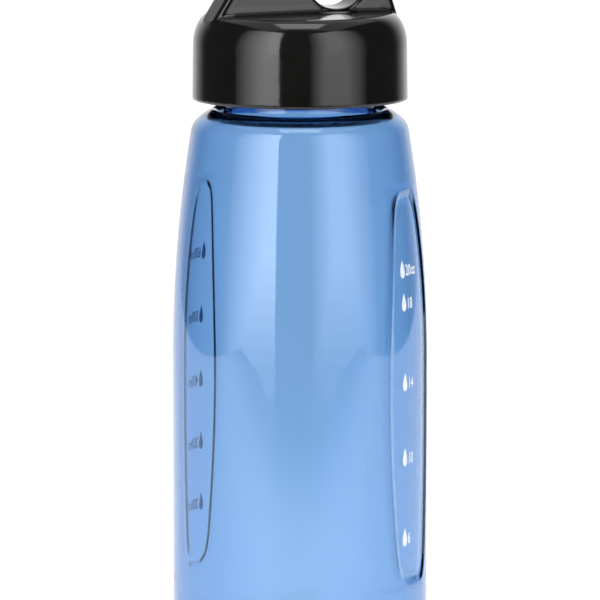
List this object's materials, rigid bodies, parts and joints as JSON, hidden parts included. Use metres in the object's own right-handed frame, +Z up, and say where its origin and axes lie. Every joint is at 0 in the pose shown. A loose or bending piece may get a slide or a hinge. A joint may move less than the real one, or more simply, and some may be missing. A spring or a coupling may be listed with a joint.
{
  "type": "sports drinking bottle",
  "caption": "Clear blue sports drinking bottle with oval grip panels and a black screw cap whose fin has a finger loop and a flip-top nozzle.",
  "frame": {"origin": "under the middle of the base, on the surface the bottle stands on", "axes": "+Z up along the bottle; X along the cap's fin, with the finger loop at +X and the nozzle at -X; -Y is the side the picture shows, seen from about 23 degrees toward -X"},
  "size_m": [0.082, 0.082, 0.2377],
  "materials": {
    "clear_blue": "clear tinted copolyester, moulded gloss",
    "gloss_black": "polished black plastic",
    "satin_black": "satin black plastic",
    "silicone": "translucent grey silicone",
    "steel": "bright stainless steel"
  },
  "bodies": {
    "bottle": {"bottle_body": "clear_blue"},
    "seal": {"cap_gasket": "silicone"},
    "cap": {"cap_shell": "gloss_black", "cap_liner": "satin_black", "drinking_nozzle": "satin_black", "nozzle_gasket": "silicone", "vent_valve": "silicone", "hinge_pin": "steel", "cover_spring": "steel", "button_spring": "steel"},
    "cover": {"flip_cover": "gloss_black", "cover_plug": "silicone"},
    "button": {"release_button": "gloss_black"}
  },
  "joints": [
    {"name": "cap_lift", "type": "slide", "parent": "bottle", "child": "seal", "axis": [0, 0, 1], "range_m": [0, 0.00676]},
    {"name": "cap_turn", "type": "hinge", "parent": "seal", "child": "cap", "pos_m": [0, 0, 0.1995], "axis": [0, 0, 1], "range_deg": [0, 540]},
    {"name": "cover_flip", "type": "hinge", "parent": "cap", "child": "cover", "pos_m": [-0.00302, 0, 0.2337], "axis": [0, 1, 0], "range_deg": [0, 125]},
    {"name": "button_press", "type": "slide", "parent": "cap", "child": "button", "axis": [1, 0, 0], "range_m": [0, 0.0012], "stiffness_N_per_m": 800, "springref_m": -0.0015}
  ],
  "couplings": [
    {"joint": "cap_lift", "follows": "cap_turn", "m_per_rad": 0.0007162}
  ]
}
